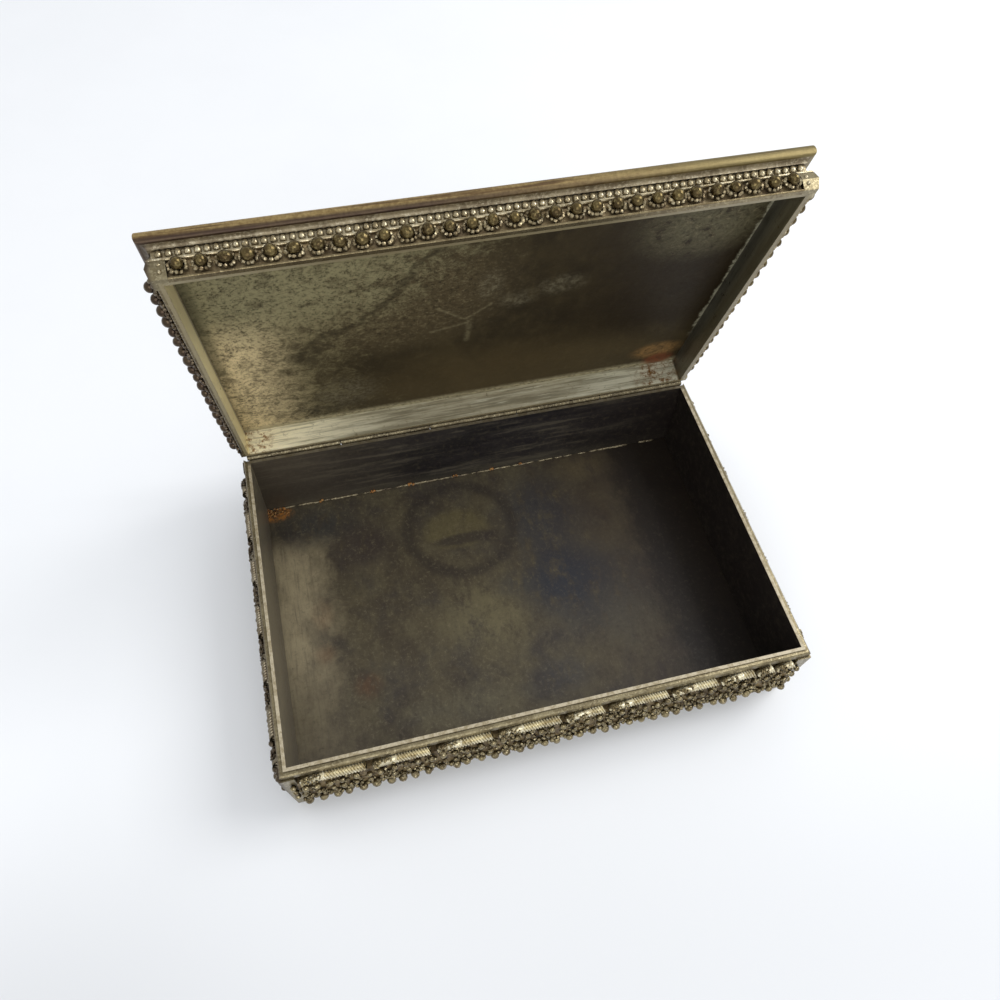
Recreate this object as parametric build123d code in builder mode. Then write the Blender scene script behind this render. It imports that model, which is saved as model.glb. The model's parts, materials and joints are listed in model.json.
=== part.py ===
from build123d import *

import os
from math import atan, cos, degrees, radians, sin

os.makedirs("parts", exist_ok=True)

# Rectangular sheet-metal trinket box with a hinged lid and applied borders of grains.
# Millimetres. X runs along the front, Y to the back, Z up. The origin is the centre of
# the underside. The lid is drawn standing open, as its stiff hinge leaves it.

# Plain sheet box, measured outside the sheet and without the borders
box_width = 130.0
box_depth = 88.0
base_height = 26.0
sheet = 0.8
floor_thickness = 0.8

# Lid, heights measured up from the rim
lid_inside_depth = 7.0
lining_thickness = 0.8
lid_height = 9.7
panel_thickness = 0.8
panel_recess = 0.4
closing_gap = 0.05
open_angle = 75.0

# Hinge along the back rim: tube knuckles soldered by turns to the base and to the lid
knuckle_radius = 1.0
knuckle_clearance = 0.1
knuckle_count = 5
knuckle_gap = 0.2
hinge_relief = 0.15
hinge_end_gap = 0.6
pin_radius = 0.5
pin_clearance = 0.05
pin_head_radius = 0.8
pin_head_length = 0.4

# Strip round the base, just under the rim
rim_strip_top = 0.4
rim_strip_bottom = 2.4
rim_strip_projection = 1.1
rim_strip_bevel = 0.35

# Row of scroll wires under the strip. The widths are the hand-set spacing of the scrolls
# on a side, from left to right as one faces it, and are scaled to the side's length.
scroll_thickness = 2.8
scroll_drop = 0.15
scroll_gap = 0.8
scroll_rise = 2.6
long_side_scrolls = (17.1, 15.3, 15.1, 17.0, 11.0, 16.6, 13.1, 10.0, 5.2, 5.6)
short_side_scrolls = (7.0, 14.0, 13.0, 14.5, 12.0, 13.5, 6.0)

# Band below the scrolls: a bar with a leaning face and two staggered rows of grains
band_top = 5.9
band_top_projection = 1.6
band_edge = 14.0
band_edge_projection = 2.6
band_bottom = 16.6
grain_radius = 1.25
grain_sides = 5
grain_height = 2.2
grain_taper = 16.0
grain_pitch = 3.5
grain_row_depth = 1.7
grain_row_spacing = 4.6

# Angle plates round the upright edges of the base
base_plate_leg = 2.0
base_plate_top_projection = 1.6
base_plate_foot_projection = 0.6

# Border of the lid, from the rim upwards: sill, channel of granules, beaded wire, cornice
sill_height = 0.6
sill_projection = 1.2
channel_height = 3.4
channel_thickness = 0.6
granule_sides = 5
granule_radius = 1.3
granule_foot_radius = 1.0
granule_crown_radius = 0.65
granule_height = 2.9
granule_pitch = 4.2
fillet_height = 0.6
fillet_projection = 1.4
wire_height = 2.0
wire_thickness = 0.55
bead_radius = 0.91
bead_pitch = 1.74
lip_height = 2.4
lip_projection = 2.9
lip_bulge = 0.4
cove_depth = 0.25
cornice_ledge = 1.6

# Angle plates round the upright edges of the lid; the back ones leave room for the hinge
lid_plate_leg = 2.0
lid_plate_bulge = 1.8
lid_plate_waist = 1.4

# Places that follow from the sizes above
axis_offset = knuckle_radius + knuckle_clearance
axis_y = box_depth / 2 + axis_offset
relief = knuckle_radius + hinge_relief
hinge_length = box_width - 2 * hinge_end_gap
knuckle_length = (hinge_length - (knuckle_count - 1) * knuckle_gap) / knuckle_count
channel_top = sill_height + channel_height
granule_level = sill_height + channel_height / 2
wire_bottom = channel_top + fillet_height
wire_top = wire_bottom + wire_height
lining_top = lid_inside_depth + lining_thickness
lip_bottom = lid_height - lip_height
lip_edge_projection = lip_projection - lip_bulge

SIDES = ("front", "right", "back", "left")
CORNERS = (("front_left", -1, -1), ("front_right", 1, -1), ("back_right", 1, 1), ("back_left", -1, 1))

# Both frames have their origin at the middle of the rim; the lid's turns about the pin
base_frame = Plane.XY.offset(base_height)
hinge_frame = Plane(
    origin=(0, axis_y, base_height),
    x_dir=(1, 0, 0),
    z_dir=(0, sin(radians(open_angle)), cos(radians(open_angle))),
)
lid_frame = Plane(hinge_frame.location * Location((0, -axis_y, 0)))


def side_length(side):
    """Length of the sheet along one side."""
    return box_width if side in ("front", "back") else box_depth


def side_face(frame, side):
    """Outside of the sheet: x along the side, y up from the rim, z outwards."""
    turn = 90.0 * SIDES.index(side)
    reach = (box_depth if side in ("front", "back") else box_width) / 2
    outwards = Vector(0, -1, 0).rotate(Axis.Z, turn)
    along = Vector(1, 0, 0).rotate(Axis.Z, turn)
    face = Plane(origin=outwards * reach, x_dir=along, z_dir=outwards)
    return Plane(frame.location * face.location)


def side_section(frame, side):
    """Cross-section at the middle of a side: x outwards, y up from the rim."""
    face = side_face(frame, side)
    return Plane(origin=face.origin, x_dir=face.z_dir, z_dir=-face.x_dir)


def side_plan(frame, side, level):
    """Plan of a side at a level above the rim: x along the side, y outwards."""
    face = side_face(frame, side)
    origin = face.from_local_coords(Vector(0, level, 0))
    return Plane(origin=origin, x_dir=face.x_dir, z_dir=-face.y_dir)


def spread(length, pitch):
    """Even places along a length, as near to the pitch as they fit."""
    count = max(1, round(length / pitch))
    return [(index + 0.5) * length / count - length / 2 for index in range(count)]


def save(builder, name):
    """Label one finished piece and write it."""
    builder.part.label = name
    export_step(builder.part, f"parts/{name}.step")


# Sheet box and lid walls: the floor is soldered between the walls of the base


def make_wall(frame, side, low, high):
    """One sheet wall; the left and right walls fit between the long ones."""
    covered = 0 if side in ("front", "back") else 2 * sheet
    with BuildPart() as wall:
        with BuildSketch(side_face(frame, side)):
            with Locations((0, low)):
                Rectangle(side_length(side) - covered, high - low, align=(Align.CENTER, Align.MIN))
        extrude(amount=-sheet)
    return wall


with BuildPart() as base_floor:
    with BuildSketch():
        Rectangle(box_width - 2 * sheet, box_depth - 2 * sheet)
    extrude(amount=floor_thickness)
save(base_floor, "base_floor")

for side in SIDES:
    save(make_wall(base_frame, side, -base_height, 0), f"base_{side}_wall")
    save(make_wall(lid_frame, side, closing_gap, lid_inside_depth), f"lid_{side}_wall")


# Lid top: the lining sheet that shows inside, and the panel that closes the outside

with BuildPart() as lid_lining:
    with BuildSketch(lid_frame.offset(lid_inside_depth)):
        Rectangle(box_width, box_depth)
    extrude(amount=lining_thickness)
save(lid_lining, "lid_lining")

with BuildPart() as lid_panel:
    with BuildSketch(lid_frame.offset(lid_height - panel_recess)):
        Rectangle(box_width - 2 * cornice_ledge, box_depth - 2 * cornice_ledge)
    extrude(amount=-panel_thickness)
save(lid_panel, "lid_panel")


# Mouldings that run round the box and meet in mitres


def make_moulding(frame, side, outline, projection):
    """A moulding along one side, cut at 45 degrees where it meets its neighbours."""
    half = side_length(side) / 2
    face = side_face(frame, side)
    with BuildPart() as moulding:
        with BuildSketch(side_section(frame, side)):
            with BuildLine():
                outline()
            make_face()
        extrude(amount=half + projection, both=True)
        for end in (1, -1):
            corner = face.from_local_coords(Vector(end * half, 0, 0))
            mitre = Plane(origin=corner, x_dir=face.y_dir, z_dir=face.x_dir * end - face.z_dir)
            split(bisect_by=mitre, keep=Keep.BOTTOM)
    return moulding


def rim_strip_outline(top):
    """Flat strip with a bevelled upper edge."""
    Polyline(
        (0, -rim_strip_bottom),
        (0, top),
        (rim_strip_projection - rim_strip_bevel, top),
        (rim_strip_projection, top - rim_strip_bevel),
        (rim_strip_projection, -rim_strip_bottom),
        close=True,
    )


def cornice_outline():
    """A hollow cove that flares into a rounded lip, with a ledge over the lining."""
    cove_foot = (wire_thickness, wire_top)
    lip_foot = (lip_edge_projection, lip_bottom)
    lip_crown = (lip_edge_projection, lid_height)
    SagittaArc(cove_foot, lip_foot, cove_depth)
    ThreePointArc(lip_foot, (lip_projection, lid_height - lip_height / 2), lip_crown)
    Polyline(
        lip_crown,
        (-cornice_ledge, lid_height),
        (-cornice_ledge, lining_top),
        (0, lining_top),
        (0, wire_top),
        cove_foot,
    )


for side in SIDES:
    strip_top = -relief if side == "back" else -rim_strip_top
    rim_strip = make_moulding(
        base_frame, side, lambda: rim_strip_outline(strip_top), rim_strip_projection
    )
    save(rim_strip, f"base_{side}_rim_strip")
    cornice = make_moulding(lid_frame, side, cornice_outline, lip_projection)
    save(cornice, f"lid_{side}_cornice")


# Scroll wires: each starts on the band, rises to the strip and ends in a square cut

scroll_radius = scroll_thickness / 2
scroll_level = -rim_strip_bottom - scroll_drop - scroll_radius / cos(radians(30))

for side in SIDES:
    widths = long_side_scrolls if side in ("front", "back") else short_side_scrolls
    band_length = side_length(side) - 2 * base_plate_leg
    face = side_face(base_frame, side)
    band_seat = side_plan(base_frame, side, -band_top)
    left = -band_length / 2
    with BuildPart() as scroll_wires:
        for share in widths:
            width = band_length * share / sum(widths)
            start = left + scroll_radius
            rise = min(scroll_rise, width / 3)
            with BuildLine(face.offset(scroll_radius)) as run:
                Polyline(
                    (start, -band_top - scroll_radius),
                    (start + rise / 3, scroll_level - rise / 3),
                    (start + rise, scroll_level),
                    (left + width - scroll_gap, scroll_level),
                )
            with BuildSketch(Plane(origin=run.line @ 0, x_dir=face.z_dir, z_dir=run.line % 0)):
                RegularPolygon(scroll_radius, 6, major_radius=False, rotation=30)
            sweep(transition=Transition.RIGHT)
            left = left + width
        split(bisect_by=band_seat, keep=Keep.BOTTOM)
    save(scroll_wires, f"base_{side}_scroll_wires")


# Grain bands: the upper and lower rows of grains stand square to the leaning face

for side in SIDES:
    band_length = side_length(side) - 2 * base_plate_leg
    face = side_face(base_frame, side)
    lean = Plane(
        origin=face.from_local_coords(Vector(0, -band_top, band_top_projection)),
        x_dir=face.x_dir,
        z_dir=face.z_dir * (band_edge - band_top)
        + face.y_dir * (band_edge_projection - band_top_projection),
    )
    upper_row = spread(band_length, grain_pitch)
    half_step = band_length / len(upper_row) / 2
    with BuildPart() as grain_band:
        with BuildSketch(side_section(base_frame, side)):
            with BuildLine():
                Polyline(
                    (0, -band_top),
                    (band_top_projection, -band_top),
                    (band_edge_projection, -band_edge),
                    (0, -band_bottom),
                    close=True,
                )
            make_face()
        extrude(amount=band_length / 2, both=True)
        with BuildSketch(lean):
            with Locations(*[(x, -grain_row_depth) for x in upper_row]):
                RegularPolygon(grain_radius, grain_sides)
            with Locations(
                *[(x + half_step, -grain_row_depth - grain_row_spacing) for x in upper_row[:-1]]
            ):
                RegularPolygon(grain_radius, grain_sides)
        extrude(amount=grain_height, taper=grain_taper)
    save(grain_band, f"base_{side}_grain_band")


# Granule strips: a sill, and above it a channel with one row of large granules

granule_waist = granule_height - granule_radius
granule_undercut = degrees(atan((granule_radius - granule_foot_radius) / granule_waist))
granule_shoulder = degrees(atan((granule_radius - granule_crown_radius) / granule_radius))
with BuildPart() as granule:
    with BuildSketch():
        RegularPolygon(granule_radius, granule_sides, major_radius=False)
    extrude(amount=granule_waist, taper=granule_undercut)
    mirror(about=Plane.XY, mode=Mode.REPLACE)
    with BuildSketch():
        RegularPolygon(granule_radius, granule_sides, major_radius=False)
    extrude(amount=granule_radius, taper=granule_shoulder)

for side in SIDES:
    strip_length = side_length(side) - 2 * lid_plate_leg
    face = side_face(lid_frame, side)
    channel_bottom = relief if side == "back" else sill_height
    granule_plane = face.offset(channel_thickness + granule_waist)
    level = (channel_bottom + channel_top) / 2
    with BuildPart() as granule_strip:
        with BuildSketch(face):
            with Locations((0, channel_bottom)):
                Rectangle(
                    strip_length, channel_top - channel_bottom, align=(Align.CENTER, Align.MIN)
                )
        extrude(amount=channel_thickness)
        if side != "back":
            with BuildSketch(face):
                with Locations((0, closing_gap)):
                    Rectangle(
                        strip_length, sill_height - closing_gap, align=(Align.CENTER, Align.MIN)
                    )
            extrude(amount=sill_projection)
        with Locations(
            *[
                granule_plane.location * Location((x, level, 0))
                for x in spread(strip_length, granule_pitch)
            ]
        ):
            add(granule.part)
    save(granule_strip, f"lid_{side}_granule_strip")


# Beaded wires: a flat fillet with a row of small beads above it, mitred at the corners


def mitred_plan(length, projection):
    """Plan of a flat bar along a side, longer outside than at the sheet."""
    half = length / 2
    tip = half + projection
    Polygon((-half, 0), (half, 0), (tip, projection), (-tip, projection), align=None)


for side in SIDES:
    length = side_length(side)
    with BuildPart() as bead_wire:
        with BuildSketch(side_plan(lid_frame, side, channel_top)):
            mitred_plan(length, fillet_projection)
        extrude(amount=-fillet_height)
        with BuildSketch(side_plan(lid_frame, side, wire_bottom)):
            mitred_plan(length, wire_thickness)
            with Locations(*[(x, wire_thickness) for x in spread(length, bead_pitch)]):
                Polygon((-bead_radius, 0), (bead_radius, 0), (0, bead_radius), align=None)
        extrude(amount=-wire_height)
    save(bead_wire, f"lid_{side}_bead_wire")


# Corner plates: square posts round the upright edges, with the sheet box cut out of them


def make_corner_plate(plane, leg, levels):
    """An angle plate; levels are pairs of a height and the projection there."""
    foot = levels[0][0]
    top = levels[-1][0]
    reach = leg + max(projection for height, projection in levels)
    outline = [(-leg, foot)]
    outline += [(projection, height) for height, projection in levels]
    outline += [(-leg, top)]
    left_section = Plane(origin=plane.origin, x_dir=-plane.x_dir, z_dir=plane.y_dir)
    front_section = Plane(origin=plane.origin, x_dir=-plane.y_dir, z_dir=-plane.x_dir)
    with BuildPart() as plate:
        with BuildSketch(left_section):
            Polygon(*outline, align=None)
        extrude(amount=reach, both=True)
        with BuildSketch(front_section):
            Polygon(*outline, align=None)
        extrude(amount=reach, both=True, mode=Mode.INTERSECT)
        with BuildSketch(plane.offset(foot)):
            Rectangle(leg, leg, align=Align.MIN)
        extrude(amount=top - foot, mode=Mode.SUBTRACT)
    return plate


base_plate_levels = (
    (-base_height, base_plate_foot_projection),
    (-rim_strip_bottom, base_plate_top_projection),
)
lid_plate_levels = (
    (closing_gap, sill_projection),
    (granule_level, lid_plate_bulge),
    (channel_top, lid_plate_waist),
)
with BuildPart() as knuckle_room:
    with BuildSketch(lid_frame):
        with Locations((0, box_depth / 2)):
            Rectangle(2 * box_width, box_depth, align=(Align.CENTER, Align.MIN))
    extrude(amount=relief)
for turns, (name, x_sign, y_sign) in enumerate(CORNERS):
    edge = Plane(
        origin=(x_sign * box_width / 2, y_sign * box_depth / 2, 0),
        x_dir=Vector(1, 0, 0).rotate(Axis.Z, 90.0 * turns),
        z_dir=(0, 0, 1),
    )
    base_edge = Plane(base_frame.location * edge.location)
    base_plate = make_corner_plate(base_edge, base_plate_leg, base_plate_levels)
    save(base_plate, f"base_{name}_corner_plate")
    lid_edge = Plane(lid_frame.location * edge.location)
    with BuildPart() as lid_plate:
        add(make_corner_plate(lid_edge, lid_plate_leg, lid_plate_levels).part)
        add(knuckle_room.part, mode=Mode.SUBTRACT)
    save(lid_plate, f"lid_{name}_corner_plate")


# Hinge: the knuckles turn on one pin, which is headed over at both ends


def make_knuckles(frame, first, web_side):
    """Every second knuckle, each with the solder web that seats it on its own wall."""
    section = side_section(frame, "back")
    web_align = Align.MIN if web_side > 0 else Align.MAX
    with BuildPart() as knuckles:
        for index in range(first, knuckle_count, 2):
            start = index * (knuckle_length + knuckle_gap) - hinge_length / 2
            with BuildSketch(section.offset(start)):
                with Locations((0, web_side * knuckle_clearance)):
                    Rectangle(axis_offset, relief - knuckle_clearance, align=(Align.MIN, web_align))
                with Locations((axis_offset, 0)):
                    Circle(knuckle_radius)
                    Circle(pin_radius + pin_clearance, mode=Mode.SUBTRACT)
            extrude(amount=knuckle_length)
    return knuckles


save(make_knuckles(base_frame, 0, -1), "hinge_base_knuckles")
save(make_knuckles(lid_frame, 1, 1), "hinge_lid_knuckles")

pin_middle = Plane(origin=(0, axis_y, base_height), x_dir=(0, 1, 0), z_dir=(1, 0, 0))
pin_half_length = hinge_length / 2 + pin_clearance
with BuildPart() as hinge_pin:
    with BuildSketch(pin_middle):
        Circle(pin_radius)
    extrude(amount=pin_half_length, both=True)
    for end in (1, -1):
        with BuildSketch(pin_middle.offset(end * pin_half_length)):
            Circle(pin_head_radius)
        extrude(amount=end * pin_head_length)
save(hinge_pin, "hinge_pin")
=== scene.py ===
"""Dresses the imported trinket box: grain and scroll borders and old tarnished plate."""

import json
import random
from math import cos, pi, radians, sin, tau

import bmesh
import bpy
from bpy.props import FloatProperty, FloatVectorProperty, IntProperty, PointerProperty
from bpy.types import Operator, Panel, PropertyGroup
from mathutils import Euler, Matrix, Vector, noise


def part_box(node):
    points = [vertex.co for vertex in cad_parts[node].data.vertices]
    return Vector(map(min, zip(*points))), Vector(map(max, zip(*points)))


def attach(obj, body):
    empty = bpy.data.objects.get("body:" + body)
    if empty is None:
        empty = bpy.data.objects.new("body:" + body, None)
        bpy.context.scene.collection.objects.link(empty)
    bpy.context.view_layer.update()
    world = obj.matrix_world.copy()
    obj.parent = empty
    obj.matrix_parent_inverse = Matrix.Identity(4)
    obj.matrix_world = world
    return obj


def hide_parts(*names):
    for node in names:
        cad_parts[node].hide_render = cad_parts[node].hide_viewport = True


bl_info = {
    "name": "Trinket Box",
    "version": (1, 0, 0),
    "blender": (4, 5, 0),
    "location": "3D View > Sidebar > Trinket Box",
    "description": "Dresses the trinket box with grains, wires and tarnished metal",
    "category": "Add Mesh",
}

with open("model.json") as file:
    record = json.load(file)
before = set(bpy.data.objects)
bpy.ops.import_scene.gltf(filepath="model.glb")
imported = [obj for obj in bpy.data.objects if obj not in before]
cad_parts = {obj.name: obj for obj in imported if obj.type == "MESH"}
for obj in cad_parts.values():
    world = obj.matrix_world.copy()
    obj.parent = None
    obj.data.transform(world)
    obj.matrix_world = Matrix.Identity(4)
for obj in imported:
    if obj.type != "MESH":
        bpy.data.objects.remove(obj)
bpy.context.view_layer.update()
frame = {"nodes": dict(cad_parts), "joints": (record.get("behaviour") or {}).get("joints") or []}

MM = 0.001
SIDES = ("front", "right", "back", "left")
LONG_SIDES = ("front", "back")
CORNERS = ("front_left", "front_right", "back_right", "back_left")

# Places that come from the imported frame
FRONT_LOW, FRONT_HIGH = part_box("base_front_wall")
BOX_WIDTH = FRONT_HIGH.x - FRONT_LOW.x
BOX_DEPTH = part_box("base_back_wall")[1].y - FRONT_LOW.y
RIM = FRONT_HIGH.z
SHEET = FRONT_HIGH.y - FRONT_LOW.y
FLOOR_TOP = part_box("base_floor")[1].z
HINGE = frame["joints"][0]
PIVOT = Vector(HINGE["pos_m"])
OPEN_ANGLE = radians(-HINGE["range_deg"][0])
LID_TURN = (
    Matrix.Translation(PIVOT)
    @ Matrix.Rotation(OPEN_ANGLE, 4, Vector(HINGE["axis"]))
    @ Matrix.Translation(-PIVOT)
)

# Borders, heights measured up from the rim and projections out from the sheet
BASE_PLATE_LEG = 2.0 * MM
LID_PLATE_LEG = 2.0 * MM
STRIP_BOTTOM = -2.4 * MM
BAND_TOP = -5.9 * MM
BAND_EDGE = -14.0 * MM
BAND_BOTTOM = -16.6 * MM
BAND_TOP_OUT = 1.6 * MM
BAND_EDGE_OUT = 2.6 * MM
SILL_BOTTOM = 0.05 * MM
SILL_TOP = 0.6 * MM
SILL_OUT = 1.2 * MM
SIDE_SILL_OUT = 0.6 * MM
HINGE_RELIEF = 1.15 * MM
CHANNEL_TOP = 4.0 * MM
CHANNEL_OUT = 0.6 * MM
GRANULE_OUT = 3.5 * MM
FILLET_TOP = 4.6 * MM
FILLET_OUT = 1.4 * MM
WIRE_TOP = 6.6 * MM
WIRE_OUT = 0.55 * MM
LINING_TOP = 7.8 * MM
LIP_BOTTOM = 7.3 * MM
LID_TOP = 9.7 * MM
LIP_OUT = 2.9 * MM
LEDGE = 1.6 * MM

# Widths of the scrolls from left to right, as parts of a side
LONG_SCROLLS = (17.1, 15.3, 15.1, 17.0, 11.0, 16.6, 13.1, 10.0, 5.2, 5.6)
SHORT_SCROLLS = (7.0, 14.0, 13.0, 14.5, 12.0, 13.5, 6.0)

# Small shapes: sizes, counts and the places of the flux spots in mm
CHAMFER = 0.15 * MM
SILL_CHAMFER = 0.1 * MM
SCROLL_LEAD = 1.2 * MM
SCROLL_TRAIL = 0.7 * MM
SCROLL_RISE = 5.0 * MM
CRUST_LENGTH = 4.6 * MM
CAP_RADIUS = 1.1 * MM
CAP_DROP = 1.0 * MM
BAND_STEP = 0.9 * MM
BAND_RELIEF = 0.35 * MM
POST_BEAD_HEIGHTS = (1.5 * MM, 2.9 * MM)
FLUX_SPOTS = (-48.0, -32.0, -20.0, -6.0, 5.5, 15.0)
CAP_CRUMBS = 26
CRUMBS_PER_MM = 5
SEAM_DROPS = 110
SPOT_CRUMBS = 5
CORNER_CRUMBS = 40

# Facets of a ball, round it and from pole to pole
CRUMB_FACETS = (6, 5)
EDGE_FACETS = (7, 5)
BEAD_FACETS = (8, 6)
GRAIN_FACETS = (9, 7)
CAP_FACETS = (10, 7)
GRANULE_FACETS = (14, 10)

# Shapes in one batch of a pile
BATCH = 25

# Where the random draws of each border start
SEEDS = {"scrolls": 10, "grains": 20, "granules": 50, "beads": 80, "solder": 7}


def tone(red, green, blue):
    """A colour as seen on screen, in 0 to 255, as linear light."""
    return tuple(
        (c / 255 / 12.92) if c / 255 <= 0.04045 else ((c / 255 + 0.055) / 1.055) ** 2.4
        for c in (red, green, blue)
    )


def length_property(name, text, size):
    return FloatProperty(
        name=name, description=text, default=size, min=0.0, unit="LENGTH", subtype="DISTANCE"
    )


def colour_property(name, text, colour):
    return FloatVectorProperty(
        name=name, description=text, default=colour, min=0.0, max=1.0, size=3, subtype="COLOR"
    )


class BorderSizes(PropertyGroup):
    """Sizes of the grains, granules, beads and wires of the borders."""

    grain_radius: length_property("Grain radius", "Radius of a grain on the base", 1.0 * MM)
    grain_pitch: length_property("Grain pitch", "Distance between two inner grains", 3.0 * MM)
    outer_pitch: length_property("Outer pitch", "Distance between two outer grains", 3.2 * MM)
    crumb_radius: length_property("Crumb radius", "Radius of the crumbs between grains", 0.55 * MM)
    scroll_radius: length_property("Scroll radius", "Radius of a ribbed scroll wire", 1.4 * MM)
    rib_pitch: length_property("Rib pitch", "Distance between two ribs of a scroll", 0.68 * MM)
    rib_depth: length_property("Rib depth", "Depth of the grooves between ribs", 0.3 * MM)
    granule_radius: length_property("Granule radius", "Radius of a granule on the lid", 1.3 * MM)
    granule_pitch: length_property("Granule pitch", "Distance between two granules", 4.2 * MM)
    ring_bead_radius: length_property("Ring bead", "Radius of the beads round a granule", 0.52 * MM)
    ring_radius: length_property("Ring radius", "Radius of the ring of beads", 1.6 * MM)
    ring_beads: IntProperty(
        name="Ring beads", description="Beads in the ring round a granule", default=11, min=3
    )
    bead_radius: length_property("Bead radius", "Radius of a bead of the lid's wire", 0.72 * MM)
    bead_pitch: length_property("Bead pitch", "Distance between two beads", 1.74 * MM)
    post_bead_radius: length_property("Post bead", "Radius of the beads on the lid corners", 0.5 * MM)


class FinishColours(PropertyGroup):
    """Colours of the old plate, its tarnish and its dirt, with the painted shade in its corners and the
    painted shadow on the floor.
    """

    plate: colour_property("Plate", "Worn plate of the strips and corners", tone(142, 131, 102))
    grains: colour_property("Grains", "Metal of the grains on the base", tone(130, 118, 88))
    tarnish: colour_property("Tarnish", "Olive tarnish outside the base", tone(98, 88, 58))
    brass: colour_property("Brass", "Brass of the lip", tone(160, 138, 92))
    # Dirt, also laid as painted shade in the corners and between parts
    dirt_and_shade: colour_property("Dirt", "Dark dirt in the corners", tone(30, 22, 14))
    rust: colour_property("Rust", "Rust and flux by the solder", tone(168, 112, 54))
    floor: colour_property("Floor", "Grey-olive of the floor", tone(90, 82, 63))
    # Painted shadow of the right wall on the right part of the floor
    floor_shadow: colour_property("Floor dark", "Darkest tarnish of the floor", tone(26, 20, 18))
    lining: colour_property("Lining", "Olive-brown of the lid's lining", tone(60, 51, 33))
    lid_wall: colour_property("Lid walls", "Silvery inside of the lid's walls", tone(176, 168, 142))


class StudioSettings(PropertyGroup):
    """Floor, lights and camera."""

    ground: colour_property("Ground", "Colour of the pale floor", (0.86, 0.875, 0.9))
    key_strength: FloatProperty(
        name="Key light", description="Power of the large soft light", default=2.8, min=0.0,
        unit="POWER",
    )
    sky_strength: FloatProperty(
        name="Sky light", description="Strength of the light from all round", default=0.85, min=0.0
    )
    camera_place: FloatVectorProperty(
        name="Camera place", description="Where the camera stands", size=3, subtype="TRANSLATION",
        unit="LENGTH", default=(-37.43 * MM, -104.44 * MM, 223.52 * MM),
    )
    camera_turn: FloatVectorProperty(
        name="Camera turn", description="How the camera is turned", size=3, subtype="EULER",
        default=(radians(32.548), radians(-2.229), radians(-14.134)),
    )
    camera_lens: FloatProperty(
        name="Lens", description="Focal length in mm on the camera's sensor", default=30.70, min=1.0
    )


# Geometry helpers. On a side, x runs along it, y up from the rim and z outwards.


def side_matrix(lid, side):
    """From a side's own axes to the row frame."""
    reach = (BOX_DEPTH if side in LONG_SIDES else BOX_WIDTH) / 2
    upright = Matrix(((1, 0, 0, 0), (0, 0, -1, -reach), (0, 1, 0, RIM), (0, 0, 0, 1)))
    place = Matrix.Rotation(tau / 4 * SIDES.index(side), 4, "Z") @ upright
    return LID_TURN @ place if lid else place


def side_length(side):
    """Length of the sheet along a side."""
    return BOX_WIDTH if side in LONG_SIDES else BOX_DEPTH


def each_side(border):
    """Each side with its length and the border's random draws."""
    for index, side in enumerate(SIDES):
        yield side, side_length(side), random.Random(SEEDS[border] + index)


def jitter(rng, reach):
    """A random shift of up to reach millimetres either way."""
    return rng.uniform(-reach, reach) * MM


def spread(length, pitch):
    """Even places along a length, as near to the pitch as they fit."""
    count = max(1, round(length / pitch))
    return [(index + 0.5) * length / count - length / 2 for index in range(count)]


def scroll_places(side):
    """Left end and width of each scroll along a side."""
    widths = LONG_SCROLLS if side in LONG_SIDES else SHORT_SCROLLS
    band = side_length(side) - 2 * BASE_PLATE_LEG
    places = []
    left = -band / 2
    for share in widths:
        width = band * share / sum(widths)
        places.append((left, width))
        left += width
    return places


def finish_piece(kind, pile, finish, body, side=None, node=None, crease=35):
    """Turns a pile of shapes into a named piece that rides on a body, in place of a CAD node."""
    bm = pile.whole()
    name = kind
    if side:
        name = f"{kind}_{side}"
        bm.transform(side_matrix(body == "lid", side))
    nodes = [f"{body}_{side}_{node}"] if node else ()
    bmesh.ops.recalc_face_normals(bm, faces=bm.faces)
    for face in bm.faces:
        face.smooth = True
    mesh = bpy.data.meshes.new(name)
    bm.to_mesh(mesh)
    bm.free()
    mesh.set_sharp_from_angle(angle=radians(crease))
    mesh.materials.append(finishes()[finish])
    piece = bpy.data.objects.new(name, mesh)
    bpy.context.scene.collection.objects.link(piece)
    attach(piece, body)
    if nodes:
        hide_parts(*nodes)


class Pile:
    """A piece of many small shapes, made in batches, as each operator walks its whole bmesh."""

    def __init__(self):
        self.bm = bmesh.new()
        self.batches = []
        self.shapes = 0

    def open(self):
        """The bmesh that the next shape goes into."""
        self.shapes += 1
        if self.shapes % BATCH == 0:
            self.close()
        return self.bm

    def close(self):
        """Puts the open batch away and starts a new one."""
        mesh = bpy.data.meshes.new("batch")
        self.bm.to_mesh(mesh)
        self.bm.free()
        self.batches.append(mesh)
        self.bm = bmesh.new()

    def whole(self):
        """All the batches as one bmesh."""
        self.close()
        for mesh in self.batches:
            self.bm.from_mesh(mesh)
            bpy.data.meshes.remove(mesh)
        return self.bm


def add_ball(pile, place, radius, facets=BEAD_FACETS, rng=None, stretch=(1, 1, 1)):
    """A small ball, a little uneven where rng is given."""
    turn = Matrix.Identity(4)
    scale = Vector(stretch)
    if rng:
        turn = Euler([rng.uniform(0, tau) for _ in range(3)]).to_matrix().to_4x4()
        scale = Vector([s * rng.uniform(0.88, 1.1) for s in scale])
    matrix = Matrix.Translation(place) @ turn @ Matrix.Diagonal(scale).to_4x4()
    around, along = facets
    bmesh.ops.create_uvsphere(
        pile.open(), u_segments=around, v_segments=along, radius=radius, matrix=matrix
    )


def strip_outline(bottom, top, out, top_cut=0, low_cut=0):
    """Outline of a strip that lies on the sheet, with its outer edges cut off."""
    upper = [(out - top_cut, top), (out, top - top_cut)] if top_cut else [(out, top)]
    lower = [(out, bottom + low_cut), (out - low_cut, bottom)] if low_cut else [(out, bottom)]
    return [(0, bottom), (0, top), *upper, *lower]


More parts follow.
